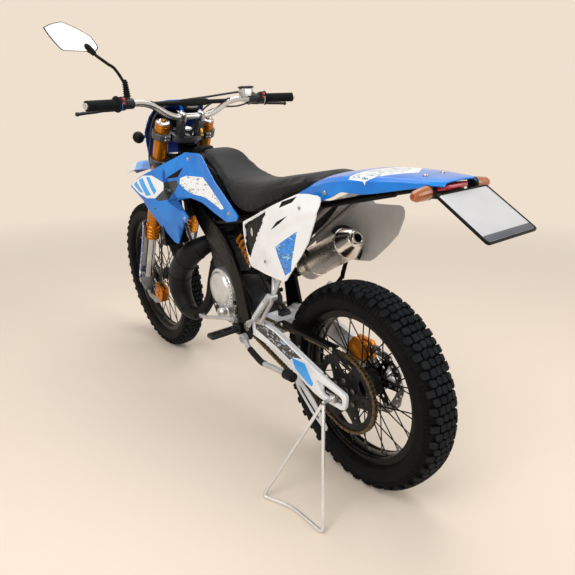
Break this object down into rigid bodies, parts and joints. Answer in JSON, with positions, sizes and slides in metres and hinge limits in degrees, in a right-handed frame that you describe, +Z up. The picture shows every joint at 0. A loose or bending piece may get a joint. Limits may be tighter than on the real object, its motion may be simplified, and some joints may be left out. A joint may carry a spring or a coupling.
{
  "type": "dirt bike",
  "caption": "Road-going dirt bike with spoked wheels, blue and white plastics and a long seat, held upright on a wire paddock stand in its rear axle.",
  "frame": {"origin": "middle of the whole bike's box, on the floor", "axes": "+X forward along the bike, +Y to the rider's left, +Z up; the bike leans 3.3 degrees to its left onto the paddock stand"},
  "size_m": [2.1943, 0.9028, 1.3442],
  "materials": {
    "frame_black": "satin",
    "swingarm_alloy": "satin silver paint",
    "axle_steel": "plated",
    "spring_orange": "gloss powder coat",
    "engine_alloy": "as cast",
    "cover_alloy": "bead blasted",
    "radiator_alloy": "black",
    "exhaust_black": "matt heat paint",
    "muffler_steel": "brushed, heat tinted",
    "black_plastic": "moulded",
    "blue_plastic": "gloss",
    "seat_vinyl": "grained vinyl",
    "white_plastic": "gloss",
    "red_lens": "clear",
    "plate_grey": "satin",
    "chain_steel": "oiled",
    "anodised_orange": "anodised",
    "polished_alloy": "polished",
    "plated_wire": "zinc plated",
    "clamp_grey": "hard anodised",
    "dark_blue_plastic": "gloss",
    "grip_rubber": "moulded",
    "control_black": "satin",
    "hose_rubber": "satin",
    "tyre_rubber": "moulded",
    "rim_black": "gloss",
    "disc_steel": "ground",
    "sprocket_dark": "blackened"
  },
  "bodies": {
    "chassis": {"main_frame": "frame_black", "swingarm": "swingarm_alloy", "rear_axle": "axle_steel", "rear_shock": "spring_orange", "engine": "engine_alloy", "engine_cover": "cover_alloy", "radiators": "radiator_alloy", "exhaust_pipe": "exhaust_black", "muffler": "muffler_steel", "airbox": "black_plastic", "fuel_tank": "black_plastic", "radiator_shrouds": "blue_plastic", "seat": "seat_vinyl", "side_panels": "white_plastic", "rear_fender": "blue_plastic", "rear_lights": "red_lens", "licence_plate": "plate_grey", "chain": "chain_steel", "chain_guard": "black_plastic", "rear_caliper": "anodised_orange", "footpegs": "frame_black", "passenger_pegs": "polished_alloy", "foot_levers": "polished_alloy", "paddock_stand": "plated_wire"},
    "front_end": {"triple_clamps": "clamp_grey", "fork_tubes": "anodised_orange", "fork_guards": "white_plastic", "front_axle": "axle_steel", "front_caliper": "anodised_orange", "front_fender": "white_plastic", "headlight_mask": "dark_blue_plastic", "front_indicators": "black_plastic", "handlebar": "polished_alloy", "grips": "grip_rubber", "hand_controls": "control_black", "rear_view_mirror": "control_black", "brake_hoses": "hose_rubber"},
    "front_wheel_set": {"front_tyre": "tyre_rubber", "front_wheel": "rim_black", "front_disc": "disc_steel"},
    "rear_wheel_set": {"rear_tyre": "tyre_rubber", "rear_wheel": "rim_black", "rear_sprocket": "sprocket_dark", "rear_disc": "disc_steel"},
    "side_stand_leg": {"side_stand": "plated_wire"}
  },
  "joints": [
    {"name": "steering", "type": "hinge", "parent": "chassis", "child": "front_end", "pos_m": [0.33467, -0.0441, 0.94924], "axis": [-0.4924, 0.0507, 0.8689], "range_deg": [-40, 40]},
    {"name": "front_wheel_spin", "type": "hinge", "parent": "front_end", "child": "front_wheel_set", "pos_m": [0.747, -0.07911, 0.34941], "axis": [0, 0.9983, -0.0583], "continuous": true},
    {"name": "rear_wheel_spin", "type": "hinge", "parent": "chassis", "child": "rear_wheel_set", "pos_m": [-0.653, -0.08109, 0.31546], "axis": [0, 0.9983, -0.0583], "continuous": true},
    {"name": "side_stand_fold", "type": "hinge", "parent": "chassis", "child": "side_stand_leg", "pos_m": [-0.197, 0.05114, 0.34982], "axis": [0, -0.9983, 0.0583], "range_deg": [0, 105]}
  ]
}
